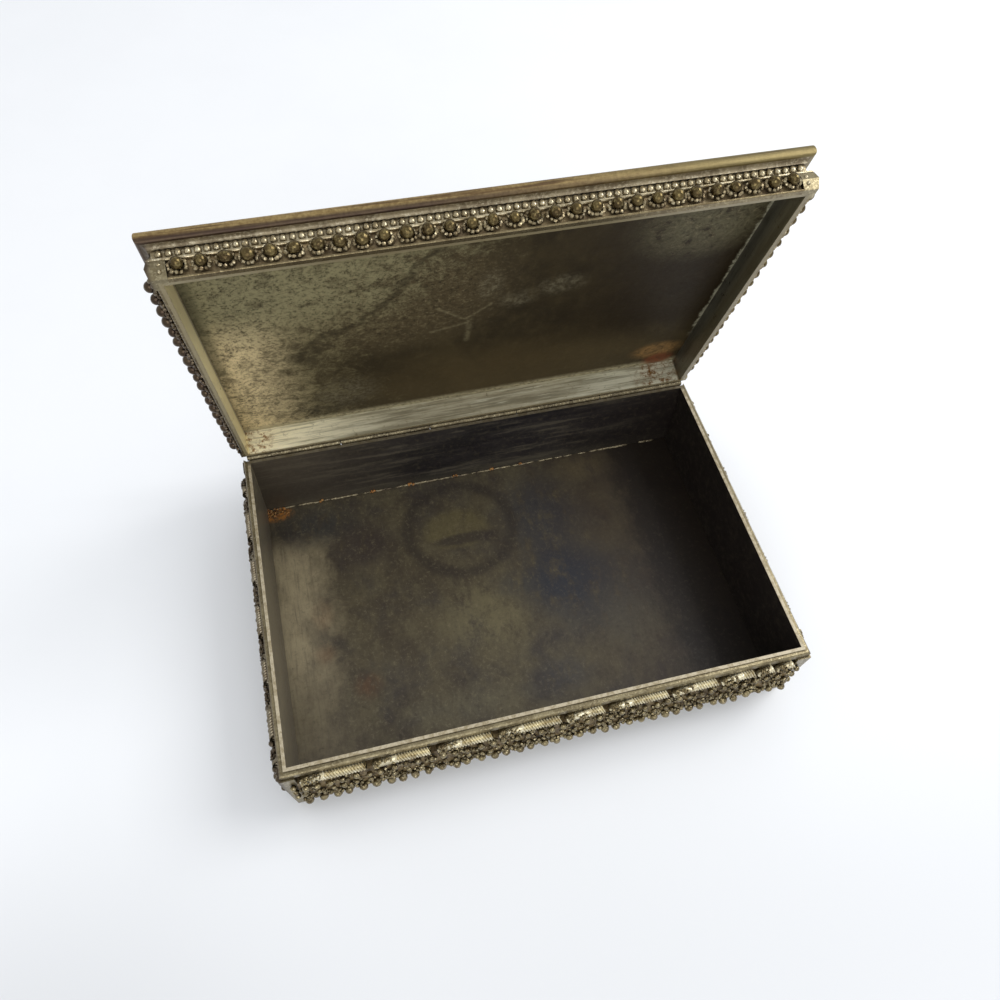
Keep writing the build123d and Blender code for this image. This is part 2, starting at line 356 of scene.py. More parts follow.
def add_bar(pile, outline, length, mitre=False):
    """A bar centred on its side. Its outline is pairs of projection and height."""
    bm = pile.open()
    near = [bm.verts.new((-length / 2, up, out)) for out, up in outline]
    face = bm.faces.new(near)
    grown = bmesh.ops.extrude_face_region(bm, geom=[face])["geom"]
    far = [item for item in grown if isinstance(item, bmesh.types.BMVert)]
    bmesh.ops.translate(bm, verts=far, vec=(length, 0, 0))
    if mitre:
        for vert in near:
            vert.co.x -= vert.co.z
        for vert in far:
            vert.co.x += vert.co.z
    return near + far


def roughen(pile, verts, step, height, seed):
    """Cuts the long edges of a bar and moves the new points a little outwards."""
    bm = pile.bm
    edges = {edge for vert in verts for edge in vert.link_edges}
    long_edges = [edge for edge in edges if edge.calc_length() > 10 * step]
    cuts = round(max(edge.calc_length() for edge in long_edges) / step)
    made = bmesh.ops.subdivide_edges(bm, edges=long_edges, cuts=cuts, use_grid_fill=True)
    for item in made["geom_inner"]:
        if isinstance(item, bmesh.types.BMVert) and item.co.z > 0.1 * MM:
            spot = item.co / (2.2 * MM) + Vector((seed, 0, 0))
            item.co.z += height * noise.noise(spot)
            item.co.y += height * 0.6 * noise.noise(spot + Vector((0, 9, 0)))


def add_ribbed_wire(pile, start, end, foot, level, rise, sizes):
    """A wire with slanting ribs that climbs from foot to level and ends in a square cut."""
    pile.close()
    bm = pile.open()
    length = end - start
    rings = 2 * max(4, round(length / sizes.rib_pitch))
    slant = -9
    sides = 10
    made = bmesh.ops.create_grid(bm, x_segments=rings, y_segments=sides, size=1.0)["verts"]
    for vert in made:
        ring = round((vert.co.x + 1) / 2 * rings)
        around = (vert.co.y + 1) / 2
        share = (ring + slant * (around - 0.5)) / rings
        share = min(1.0, max(0.0, share))
        swell = min(1.0, share * length / rise)
        radius = sizes.scroll_radius * (0.72 + 0.28 * swell)
        if ring % 2:
            radius -= sizes.rib_depth * (0.6 + 0.4 * swell)
        climb = 1 - swell
        height = level - (level - foot) * climb * climb
        slope = 2 * climb * (level - foot) / rise
        along = Vector((1, slope, 0)).normalized()
        up = Vector((-along.y, along.x, 0))
        middle = Vector((start + share * length, height, sizes.scroll_radius))
        turn = tau * around
        vert.co = middle - up * (radius * sin(turn)) - Vector((0, 0, radius * cos(turn)))
    bmesh.ops.remove_doubles(bm, verts=made, dist=0.004 * MM)
    rim = [edge for edge in bm.edges if edge.is_boundary]
    bmesh.ops.holes_fill(bm, edges=rim, sides=0)


# Finishes. Patterns are in millimetres on object coordinates.


class Finish:
    """Wires the nodes of one material. A colour given as a tuple is a tone in 0 to 255."""

    def __init__(self, name, metallic=0.9, specular=0.5, lid=False):
        self.material = bpy.data.materials.new(name)
        self.material.use_nodes = True
        self.tree = self.material.node_tree
        self.shader = self.tree.nodes["Principled BSDF"]
        self.shader.inputs["Metallic"].default_value = metallic
        self.shader.inputs["Specular IOR Level"].default_value = specular
        self.place = self.coords(lid)
        self.colour = None

    def node(self, kind, values=(), **settings):
        """A new node with its sockets fed."""
        made = self.tree.nodes.new(kind)
        for key, value in settings.items():
            setattr(made, key, value)
        for key, value in dict(values).items():
            self.feed(made.inputs[key], value)
        return made

    def feed(self, socket, value):
        """Links a socket to a node's output, or sets its value."""
        if isinstance(value, bpy.types.NodeSocket):
            self.tree.links.new(value, socket)
        elif socket.type == "RGBA":
            light = tone(*value) if isinstance(value, tuple) else value
            socket.default_value = (*light, 1.0)
        else:
            socket.default_value = value

    def coords(self, lid):
        """Millimetres in the row frame, or on the lid: x, depth back from the pin, height."""
        source = self.node("ShaderNodeTexCoord").outputs["Object"]
        turn = Matrix.Rotation(OPEN_ANGLE, 4, "X") if lid else Matrix.Identity(4)
        shift = -(turn @ (PIVOT / MM)) if lid else Vector()
        return self.mapping(source, (1 / MM,) * 3, shift, (OPEN_ANGLE if lid else 0.0, 0.0, 0.0))

    def mapping(self, vector, scale, shift, turn=(0, 0, 0)):
        values = {"Vector": vector, "Scale": scale, "Location": shift, "Rotation": turn}
        return self.node("ShaderNodeMapping", values).outputs[0]

    def noise(self, scale, detail, rough, warp=0.0, stretch=None, shift=(0, 0, 0), turn=0.0):
        """Noise on the piece, drawn out where stretch is given."""
        vector = self.mapping(self.place, stretch, shift, (0, 0, turn)) if stretch else self.place
        values = {
            "Vector": vector, "Scale": scale, "Detail": detail, "Roughness": rough, "Distortion": warp,
        }
        return self.node("ShaderNodeTexNoise", values).outputs["Fac"]

    def axes(self):
        """The piece's own x, y and z in millimetres."""
        return self.node("ShaderNodeSeparateXYZ", {"Vector": self.place}).outputs

    def vector_math(self, operation, first, second, key=1):
        values = {0: first, key: second}
        return self.node("ShaderNodeVectorMath", values, operation=operation).outputs

    def math(self, operation, first, second=0.0):
        return self.node("ShaderNodeMath", {0: first, 1: second}, operation=operation).outputs[0]

    def both(self, first, second):
        return self.math("MULTIPLY", first, second)

    def fit(self, value, low, high, to_low=0.0, to_high=1.0):
        """Maps low..high to to_low..to_high with soft ends."""
        values = {
            "Value": value, "From Min": low, "From Max": high, "To Min": to_low, "To Max": to_high,
        }
        return self.node("ShaderNodeMapRange", values, interpolation_type="SMOOTHSTEP").outputs[0]

    def where(self, mask, *pattern):
        """The mask, kept only where a fitted pattern is 1."""
        return self.both(mask, self.fit(*pattern))

    def blend(self, share, first, second):
        """Colour first where share is 0 and second where it is 1."""
        made = self.node("ShaderNodeMix", {0: share, 6: first, 7: second}, data_type="RGBA")
        return made.outputs[2]

    def mix(self, first, second, *pattern):
        """Goes from one colour to another as a pattern goes from low to high."""
        return self.blend(self.fit(*pattern), first, second)

    def lay(self, colour, mask, amount=1):
        """Lays a colour over the finish where the mask is 1, thinned by amount."""
        share = mask if amount == 1 else self.both(mask, amount)
        self.colour = self.blend(share, self.colour, colour)

    def tint(self, colour, amount, *patterns):
        """Lays a colour where each pattern has come from its low to its high."""
        mask = self.fit(*patterns[0])
        for pattern in patterns[1:]:
            mask = self.where(mask, *pattern)
        self.lay(colour, mask, amount)

    def oval(self, centre, radii):
        """Distance from the centre of an upright oval bar, 1 on its skin."""
        scale = [1 / r for r in radii]
        shift = [-c * s for c, s in zip(centre, scale)]
        moved = self.mapping(self.place, (*scale, 0.0), (*shift, 0.0))
        return self.node("ShaderNodeVectorMath", {0: moved}, operation="LENGTH").outputs["Value"]

    def stroke(self, start, end, width):
        """1 on a straight line between two points, fading out at width."""
        start = Vector((*start, 0.0))
        run = Vector((*end, 0.0)) - start
        away = self.vector_math("SUBTRACT", self.place, start)[0]
        flat = self.vector_math("MULTIPLY", away, (1, 1, 0))[0]
        along = self.vector_math("DOT_PRODUCT", flat, run / run.length_squared)["Value"]
        held = self.node("ShaderNodeClamp", {"Value": along}).outputs[0]
        nearest = self.vector_math("SCALE", run, held, "Scale")[0]
        return self.fit(self.vector_math("DISTANCE", flat, nearest)["Value"], width, 0.0)

    def hollow(self, distance, low=0.35, high=0.95):
        """1 deep in the corners between pieces and 0 in the open."""
        made = self.node("ShaderNodeAmbientOcclusion", {"Distance": distance}, samples=8)
        return self.fit(made.outputs["AO"], high, low)

    def relief(self, height, depth, strength):
        """Small bumps in the surface."""
        values = {"Height": height, "Distance": depth, "Strength": strength}
        self.feed(self.shader.inputs["Normal"], self.node("ShaderNodeBump", values).outputs[0])

    def done(self, roughness):
        """Wires the colour and the roughness to the shader."""
        self.feed(self.shader.inputs["Base Color"], self.colour)
        self.feed(self.shader.inputs["Roughness"], roughness)
        return self.material


def worn_metal(name, dirt_and_shade, light, middle, dark, reach, rough, metallic, bumps):
    """Plate that is dull in patches, rubbed bright on top, dirty and with painted shade in the corners,
    and with painted shade on the far left.
    """
    coat = Finish(name, metallic)
    patches = coat.noise(0.22, 5, 0.6, 0.6)
    specks = coat.noise(1.6, 6, 0.7)
    fine = coat.noise(7, 3, 0.6)
    coat.colour = coat.mix(middle, dark, patches, 0.36, 0.64)
    coat.tint(light, 0.8, (specks, 0.48, 0.66))
    coat.tint(dirt_and_shade, 0.45, (fine, 0.56, 0.74))
    # Dirt and painted shade, darkest deep in the corners between pieces
    coat.lay(dirt_and_shade, coat.hollow(reach * MM), 0.85)
    # Painted shade: the far left side, turned from the light, is darker
    coat.tint((62, 50, 44), 0.75, (coat.axes()[0], -65.4, -66.4))
    coat.relief(coat.math("ADD", specks, coat.both(fine, 0.5)), 0.1 * MM, bumps)
    return coat.done(coat.fit(specks, 0.35, 0.65, rough[1], rough[0]))


def floor_finish(colours):
    """The floor: softly mottled olive, grey and purple, an oval stain, with a painted shadow at the
    right.
    """
    coat = Finish("floor_tarnish_and_shadow", 0.2, 0.3)
    x, y = coat.axes()[:2]
    clouds = coat.noise(0.07, 8, 0.64, 0.3)
    blots = coat.noise(0.06, 8, 0.66, 0.3, stretch=(1, 1, 1), shift=(40, 10, 0))
    smears = coat.noise(1, 8, 0.72, 0.2, stretch=(0.3, 0.16, 1), turn=0.1)
    pits = coat.noise(0.9, 9, 0.8, 0.3)
    scratches = coat.noise(1, 3, 0.6, stretch=(4.5, 0.22, 1), turn=0.2)
    coat.colour = coat.mix(colours.floor, (66, 58, 48), clouds, 0.3, 0.7)
    coat.tint((54, 51, 54), 0.55, (blots, 0.42, 0.7))
    coat.tint((100, 93, 71), 0.5, (smears, 0.44, 0.7))
    for centre, radii, share, stain in (
        ((-7, -6), (13, 11), 0.55, (116, 108, 80)),
        ((34, -16), (9, 11), 0.5, (108, 103, 82)),
        ((36, 38), (10, 4.5), 0.6, (116, 104, 76)),
        ((-19, -30), (17, 4.5), 0.5, (104, 98, 78)),
        ((17, 22), (13, 16), 0.8, (52, 52, 57)),
        ((18, 1), (14, 10), 0.85, (42, 44, 54)),
        ((8, -28), (9, 5), 0.6, (54, 54, 60)),
        ((27, -4), (17, 15), 0.5, (54, 59, 66)),
        ((2, 2), (6, 4), 0.5, (56, 56, 58)),
        ((-50, 34), (11, 6.5), 0.75, (58, 58, 58)),
        ((-39, 25), (10, 8), 0.6, (60, 52, 52)),
        ((-53, 5), (3, 4.5), 0.6, (104, 74, 52)),
        ((-54, -7), (3, 3), 0.6, (100, 70, 50)),
        ((-43.5, -18.5), (3.5, 3.5), 0.6, (98, 70, 50)),
    ):
        coat.tint(stain, share, (coat.oval(centre, radii), 1.5, 0.3), (smears, 0.3, 0.56))
    wander = coat.math("ADD", x, coat.fit(blots, 0.3, 0.7, -4, 4))
    coat.tint(
        (180, 167, 136), 0.8, (wander, -45, -60), (y, 34, 24), (y, -26, 0, 0.3, 1),
        (smears, 0.2, 0.66, 0.45, 1),
    )
    drawn = coat.noise(1, 5, 0.66, stretch=(1.6, 0.09, 1))
    coat.tint((92, 84, 72), 0.45, (drawn, 0.5, 0.7), (x, -40, -58))
    ring = coat.oval((-8.5, 24.4), (15.8, 15.2))
    ring = coat.math("ABSOLUTE", coat.math("SUBTRACT", ring, 1))
    coat.tint((52, 46, 42), 0.62, (ring, 0.2, 0.02))
    inner = coat.oval((-9.8, 24.4), (10.5, 7))
    coat.tint((100, 91, 62), 0.65, (inner, 1.15, 0.7), (smears, 0.2, 0.55))
    crescent = coat.oval((-8, 20.5), (10, 1.9))
    coat.tint((52, 46, 46), 0.65, (crescent, 1.3, 0.6))
    # Painted shadow of the right wall: darker towards the right, near black at the wall
    right = coat.math("ADD", x, coat.fit(smears, 0.3, 0.7, -3, 3))
    coat.tint((44, 32, 24), 0.55, (right, 10, 40))
    coat.tint(colours.floor_shadow, 0.8, (right, 38, 48))
    # Light pits, fading out into the painted shadow at the right
    coat.tint((130, 121, 96), 1, (pits, 0.52, 0.66), (right, 44, -20, 0.08, 0.42))
    coat.tint((42, 38, 32), 0.35, (pits, 0.48, 0.34))
    coat.tint((140, 132, 108), 0.25, (scratches, 0.62, 0.78), (right, 45, 20))
    # Dirt and painted shade near the walls and in the corners
    coat.lay(colours.dirt_and_shade, coat.hollow(2.5 * MM, 0.3, 0.8), 0.3)
    rust = coat.oval((-61.5, 41), (5, 2.6))
    coat.tint(colours.rust, 1, (rust, 1.2, 0.5), (pits, 0.42, 0.55))
    coat.relief(coat.math("ADD", pits, coat.both(scratches, 0.3)), 0.06 * MM, 0.5)
    return coat.done(coat.fit(pits, 0.3, 0.7, 0.5, 0.36))


def base_wall_finish(colours):
    """Base walls: dark tarnish inside with painted light at the left and painted shade at the right,
    dirty plate outside, a worn rim.
    """
    coat = Finish("base_wall_tarnish_light_and_shade", 0.2)
    x, y, z = coat.axes()
    pits = coat.noise(0.6, 8, 0.75, 0.3)
    clouds = coat.noise(0.09, 6, 0.65, 0.5)
    streaks = coat.noise(1, 6, 0.66, 0.2, stretch=(0.06, 0.1, 0.7))
    blots = coat.noise(1, 6, 0.6, 0.3, stretch=(0.035, 0.1, 0.22), shift=(3, 0, 5))
    coat.colour = coat.mix((50, 46, 44), (36, 32, 34), clouds, 0.35, 0.65)
    coat.tint((88, 82, 70), 0.75, (streaks, 0.5, 0.62))
    coat.tint((20, 18, 22), 0.75, (blots, 0.5, 0.62))
    # Painted light: lighter towards the left, where the light falls inside
    coat.tint((98, 88, 72), 0.5, (x, -10, -62))
    coat.tint((98, 92, 76), 0.35, (z, 7, 0.8))
    # Painted shade: darker towards the right, like the painted shadow on the floor
    coat.tint((33, 27, 24), 0.9, (x, 20, 64))
    # Painted light: the left wall's inner face, which faces the light, is lighter and lightest at the
    # top
    left_wall = coat.mix((146, 136, 112), (112, 104, 90), z, 20, 4)
    left_wall = coat.mix(left_wall, (104, 96, 84), pits, 0.42, 0.64)
    coat.tint(left_wall, 0.9, (x, -63.9, -64.3))
    coat.tint((100, 92, 74), 0.3, (pits, 0.5, 0.66))
    inside = coat.colour
    coat.colour = coat.mix(colours.tarnish, (70, 58, 40), pits, 0.3, 0.7)
    coat.tint((128, 116, 84), 0.4, (streaks, 0.48, 0.66))
    depth = coat.math(
        "MAXIMUM", coat.math("SUBTRACT", coat.math("ABSOLUTE", x), BOX_WIDTH / 2 / MM - 0.4),
        coat.math("SUBTRACT", coat.math("ABSOLUTE", y), BOX_DEPTH / 2 / MM - 0.4),
    )
    coat.colour = coat.mix(inside, coat.colour, depth, -0.05, 0.05)
    rim = coat.mix((184, 173, 148), (146, 133, 104), pits, 0.42, 0.6)
    rim = coat.blend(coat.both(coat.fit(y, 42, 43), 0.7), rim, (64, 56, 42))
    coat.tint(rim, 1, (z, RIM / MM - 0.35, RIM / MM - 0.02))
    coat.relief(pits, 0.08 * MM, 0.5)
    return coat.done(coat.fit(pits, 0.3, 0.7, 0.5, 0.32))


def lining_finish(colours):
    """The lid's inside: olive-brown, pitted and lighter at the left, partly as painted light, with
    painted shade at the right, a forked scratch.
    """
    coat = Finish("lining_tarnish_light_and_shade", 0.1, 0.12, lid=True)
    x, y = coat.axes()[:2]
    clouds = coat.noise(0.06, 6, 0.6, 0.4)
    smears = coat.noise(1, 7, 0.68, 0.3, stretch=(0.3, 0.16, 1), turn=-0.15)
    pits = coat.noise(0.7, 10, 0.88, 0.2)
    crumbs = coat.noise(1.1, 8, 0.88)
    coat.colour = coat.mix(colours.lining, (45, 38, 25), clouds, 0.34, 0.66)
    coat.tint((76, 66, 44), 0.45, (smears, 0.45, 0.7))
    coat.tint((86, 72, 45), 0.55, (coat.oval((14, -14), (46, 18)), 1.4, 0.3))
    # Painted shade: darker towards the right
    coat.tint((34, 25, 12), 0.8, (x, 2, 46), (y, -18, -34))
    wander = coat.math(
        "ADD", coat.fit(clouds, 0.3, 0.7, -5, 5), coat.fit(pits, 0.3, 0.7, 9, -9)
    )
    diagonal = coat.both(coat.math("MINIMUM", coat.math("ADD", y, 35), 0), 0.77)
    line = coat.math("ADD", coat.math("ADD", x, 47), diagonal)
    edge = coat.math("ADD", line, wander)
    mottle = coat.noise(0.26, 10, 0.8, 0.6)
    edge = coat.math("ADD", edge, coat.fit(mottle, 0.3, 0.7, -16, 16))
    plain = coat.fit(edge, 20, -20)
    rough_zone = coat.fit(coat.oval((-22, -60), (30, 23)), 1.25, 0.5)
    top_right = coat.fit(coat.oval((52, -74), (18, 14)), 1.3, 0.3)
    coat.lay((82, 71, 50), rough_zone, 0.75)
    # Lighter smooth zone at the left: partly its own tone, partly painted light, lightest by the left
    # wall
    light = coat.mix((124, 114, 82), (216, 196, 150), x, -40, -61)
    light = coat.mix(light, (134, 127, 94), y, -44, -66)
    coat.lay(light, coat.where(plain, smears, 0.2, 0.5, 0.65, 0.98))
    coat.lay((72, 63, 44), coat.both(coat.fit(mottle, 0.5, 0.6), plain), 0.6)
    coat.lay((112, 107, 80), coat.where(top_right, mottle, 0.36, 0.52), 0.5)
    speckled = coat.math("MAXIMUM", rough_zone, coat.both(top_right, 0.8))
    coat.lay((132, 119, 88), coat.where(speckled, pits, 0.5, 0.62), 0.65)
    pitted = coat.both(coat.fit(crumbs, 0.5, 0.57), coat.math("MAXIMUM", speckled, plain))
    pitted = coat.where(pitted, mottle, 0.3, 0.55, 0.45, 1)
    coat.lay((44, 37, 25), pitted, 0.9)
    crack = coat.math("ADD", line, coat.fit(clouds, 0.3, 0.7, -7, 3))
    coat.tint(
        (46, 39, 26), 0.8, (coat.math("ABSOLUTE", crack), 2.6, 0.2), (y, -30, -40),
        (pits, 0.4, 0.55),
    )
    coat.tint((84, 80, 60), 0.6, (x, -60.5, -63), (y, -30, -42))
    for centre, radii in (
        ((1.5, -60), (3, 6)),
        ((19, -56), (6, 4)),
        ((9, -52.5), (4.5, 3.5)),
        ((-34, -17), (8, 8)),
    ):
        patch = coat.fit(coat.oval(centre, radii), 1.4, 0.3)
        patch = coat.both(patch, coat.where(coat.fit(pits, 0.4, 0.58), mottle, 0.34, 0.6))
        coat.lay((124, 116, 92), patch, 0.6)
    for start, end, width in (
        ((-11, -53.5), (-4.4, -47), 0.8),
        ((2.2, -52), (-3.6, -46.6), 0.8),
        ((-12, -42.6), (-3.6, -44.6), 0.9),
        ((-2.6, -46), (-2.8, -36), 1.3),
    ):
        mark = coat.where(coat.stroke(start, end, width), pits, 0.36, 0.56)
        coat.lay((132, 122, 92), mark, 0.4)
    coat.tint((168, 158, 126), 1, (y, -5.5, -2.6), (pits, 0.36, 0.56))
    coat.tint(
        (142, 108, 64), 1, (coat.oval((56, -11), (8, 5)), 1.2, 0.5),
        (mottle, 0.36, 0.56, 0.2, 0.9), (pits, 0.36, 0.54),
    )
    coat.tint((112, 62, 36), 1, (coat.oval((58, -5), (5, 4)), 1.2, 0.5), (pits, 0.36, 0.54))
    ragged = coat.math("ADD", x, coat.fit(mottle, 0.3, 0.7, -0.9, 0.9))
    coat.tint((176, 172, 146), 0.85, (ragged, 63.2, 63.9), (y, -16, -24), (pits, 0.38, 0.52))
    # Dirt and painted shade in the corners
    coat.lay(colours.dirt_and_shade, coat.hollow(2 * MM, 0.3, 0.8), 0.3)
    coat.relief(coat.math("ADD", pits, coat.both(crumbs, 0.5)), 0.07 * MM, 0.7)
    return coat.done(coat.fit(pits, 0.3, 0.7, 0.62, 0.48))


def lid_wall_finish(colours):
    """Lid walls: silvery at the hinge, yellowish at the left with painted light, and painted shade at
    the right.
    """
    coat = Finish("lid_wall_tarnish_light_and_shade", 0.2, lid=True)
    x, y, z = coat.axes()
    pits = coat.noise(0.6, 8, 0.75, 0.4)
    streaks = coat.noise(1, 6, 0.68, stretch=(0.08, 0.08, 1.6))
    coat.colour = coat.mix(colours.lid_wall, (252, 243, 208), x, -15, -55)
    coat.tint((216, 213, 188), 0.7, (x, 20, 50))
    broad = coat.noise(1, 6, 0.7, stretch=(0.035, 0.035, 0.7), shift=(0, 0, 7))
    coat.tint((98, 91, 68), 0.65, (broad, 0.44, 0.6), (x, -58, -30, 0.3, 1))
    coat.tint((128, 118, 90), 0.55, (streaks, 0.5, 0.66))
    coat.tint((214, 210, 184), 0.7, (streaks, 0.46, 0.34))
    coat.tint((122, 112, 84), 0.5, (pits, 0.54, 0.68))
    left_wall = coat.fit(x, -63.4, -64.1)
    # Painted light: light yellowish brass on the left wall's inner face, which faces the light
    brass = coat.mix((252, 238, 184), (218, 200, 148), y, -50, -80)
    coat.lay(brass, left_wall, 0.85)
    # Painted shadow line along the left wall, next to the lining
    coat.lay((108, 88, 76), coat.where(left_wall, z, 5.4, 6.6), 0.75)
    # Painted shade: the right wall's inner face, turned from the light, near black towards the lining
    right_wall_shade = coat.mix((72, 64, 42), (24, 20, 12), z, 2, 5.6)
    coat.tint(right_wall_shade, 0.9, (x, 63.4, 64))
    coat.tint(
        (140, 100, 52), 1, (coat.oval((-62, -2), (4.5, 4)), 1.4, 0.5), (pits, 0.48, 0.6)
    )
    coat.tint((118, 88, 54), 1, (coat.oval((58, -2), (7, 4)), 1.4, 0.5), (pits, 0.46, 0.6))
    coat.tint((122, 110, 80), 0.9, (z, 0.4, 0.06))
    coat.relief(pits, 0.08 * MM, 0.5)
    return coat.done(coat.fit(pits, 0.3, 0.7, 0.42, 0.26))


def lip_finish(colours):
    """The lid's lip: gold-brown brass with long dark streaks, and painted shade along its lower edge at
    the left.
    """
    coat = Finish("lip_brass", 0.7, lid=True)
    x, _, z = coat.axes()
    pits = coat.noise(1.1, 8, 0.76, 0.3)
    streaks = coat.noise(1, 7, 0.7, 0.2, stretch=(0.05, 0.05, 1.3))
    coat.colour = coat.mix(colours.brass, (126, 104, 64), pits, 0.36, 0.64)
    coat.tint((84, 60, 36), 0.75, (streaks, 0.46, 0.6))
    coat.tint((112, 102, 66), 0.75, (x, 0, 50))
    coat.tint((72, 54, 40), 0.5, (streaks, 0.54, 0.68))
    # Painted shade along the lower third of the lip, strongest at the left
    coat.tint((56, 42, 38), 0.85, (z, 8.5, 7.7), (x, 60, -20))
    # Dirt and painted shade in the corners
    coat.lay(colours.dirt_and_shade, coat.hollow(1.4 * MM, 0.4, 0.9), 0.8)
    coat.relief(coat.math("ADD", pits, streaks), 0.1 * MM, 0.6)
    return coat.done(coat.fit(pits, 0.3, 0.7, 0.42, 0.28))


def panel_finish(colours):
    """The lid's top: dull plate with fine rubbed lines, soft stains and darker edges."""
    coat = Finish("panel_plate", 0.8, 0.4, lid=True)
    x, y = coat.axes()[:2]
    clouds = coat.noise(0.035, 7, 0.62, 0.5)
    stains = coat.noise(0.09, 8, 0.66, 0.4, stretch=(1, 1, 1), shift=(30, 5, 0))
    rubbed = coat.noise(1, 4, 0.6, stretch=(0.16, 3.2, 1), turn=0.05)
    crossed = coat.noise(1, 3, 0.6, stretch=(2.6, 0.12, 1), turn=0.35)
    pits = coat.noise(1.4, 8, 0.78, 0.2)
    coat.colour = coat.mix((136, 125, 94), (108, 97, 70), clouds, 0.3, 0.7)
    coat.tint((82, 72, 54), 0.5, (stains, 0.48, 0.72))
    coat.tint((168, 157, 124), 0.35, (rubbed, 0.5, 0.72))
    coat.tint((176, 166, 134), 0.3, (crossed, 0.62, 0.78))
    coat.tint((62, 53, 38), 0.4, (pits, 0.58, 0.7))
    coat.tint((70, 59, 42), 0.45, (coat.math("ABSOLUTE", x), 56, 64.5))
    coat.tint((70, 59, 42), 0.4, (y, -12, -2.5))
    # Dirt and painted shade in the corners
    coat.lay(colours.dirt_and_shade, coat.hollow(1.4 * MM), 0.7)
    coat.relief(coat.math("ADD", coat.both(rubbed, 0.4), pits), 0.05 * MM, 0.5)
    return coat.done(coat.fit(rubbed, 0.35, 0.65, 0.5, 0.36))


def finishes():
    """The named materials, made once."""
    colours = bpy.context.scene.trinket_finish
    made = {}
    for name, build in (
        ("floor_tarnish_and_shadow", floor_finish),
        ("base_wall_tarnish_light_and_shade", base_wall_finish),
        ("lining_tarnish_light_and_shade", lining_finish),
        ("lid_wall_tarnish_light_and_shade", lid_wall_finish),
        ("lip_brass", lip_finish),
        ("panel_plate", panel_finish),
    ):
        made[name] = bpy.data.materials.get(name) or build(colours)
    for name, *look in (
        # Light, middle and dark tone, reach of the dirt and painted shade in the corners in mm,
        # roughness, metal share, relief
        ("worn_plate", (170, 159, 129), colours.plate, (112, 101, 76), 1.2, (0.24, 0.42), 0.85, 0.4),
        ("grain_metal", (184, 172, 138), colours.grains, (90, 78, 56), 0.5, (0.12, 0.26), 0.85, 0.25),
        ("band_metal", (150, 131, 88), (110, 92, 58), (76, 60, 36), 0.5, (0.4, 0.6), 0.2, 0.7),
        ("crust_metal", (190, 176, 136), (142, 128, 94), (104, 90, 64), 0.25, (0.3, 0.46), 0.85, 0.7),
        ("granule_metal", (140, 126, 84), (96, 82, 50), (66, 53, 32), 1.0, (0.14, 0.26), 0.85, 0.2),
        ("ring_metal", (204, 192, 160), (156, 142, 110), (112, 97, 72), 0.35, (0.2, 0.36), 0.85, 0.3),
        ("bead_metal", (226, 217, 190), (184, 171, 140), (140, 126, 96), 0.35, (0.16, 0.32), 0.85, 0.3),
        ("sill_metal", (158, 145, 112), (130, 117, 88), (104, 91, 66), 0.3, (0.24, 0.42), 0.85, 0.3),
        ("cove_metal", (186, 176, 150), (150, 137, 110), (112, 99, 76), 0.7, (0.34, 0.5), 0.5, 0.4),
        ("channel_metal", (178, 160, 122), (142, 124, 92), (104, 87, 64), 0.5, (0.34, 0.5), 0.6, 0.7),
        (
            "ribbed_metal", (255, 249, 226), (230, 219, 184), (178, 163, 126), 0.35, (0.18, 0.34), 0.85,
            0.4,
        ),
        ("hinge_metal", (160, 150, 122), (118, 107, 82), (80, 71, 54), 0.8, (0.24, 0.42), 0.85, 0.7),
        ("seam_metal", (180, 168, 134), (132, 120, 94), (84, 72, 56), 1.2, (0.24, 0.42), 0.5, 0.7),
        ("rusty_solder", (206, 170, 108), colours.rust, (92, 56, 28), 0.4, (0.5, 0.8), 0.1, 0.7),
    ):
        made[name] = bpy.data.materials.get(name) or worn_metal(name, colours.dirt_and_shade, *look)
    return made


def dress(node, material):
    """Gives a CAD node its finish."""
    slots = frame["nodes"][node].data.materials
    slots.clear()
    slots.append(material)


class TRINKET_OT_sheet(Operator):
    """Finish the sheet metal, the strips, the corner plates and the hinge"""

    bl_idname = "trinket.sheet"
    bl_label = "Sheet Metal"

    def execute(self, context):
        made = finishes()
        dress("base_floor", made["floor_tarnish_and_shadow"])
        dress("lid_lining", made["lining_tarnish_light_and_shade"])
        dress("lid_panel", made["panel_plate"])
        for side in SIDES:
            dress(f"base_{side}_wall", made["base_wall_tarnish_light_and_shade"])
            dress(f"lid_{side}_wall", made["lid_wall_tarnish_light_and_shade"])
            dress(f"base_{side}_rim_strip", made["worn_plate"])
        for corner in CORNERS:
            dress(f"base_{corner}_corner_plate", made["worn_plate"])
            dress(f"lid_{corner}_corner_plate", made["worn_plate"])
        for node in ("hinge_base_knuckles", "hinge_lid_knuckles", "hinge_pin"):
            dress(node, made["hinge_metal"])
        return {"FINISHED"}


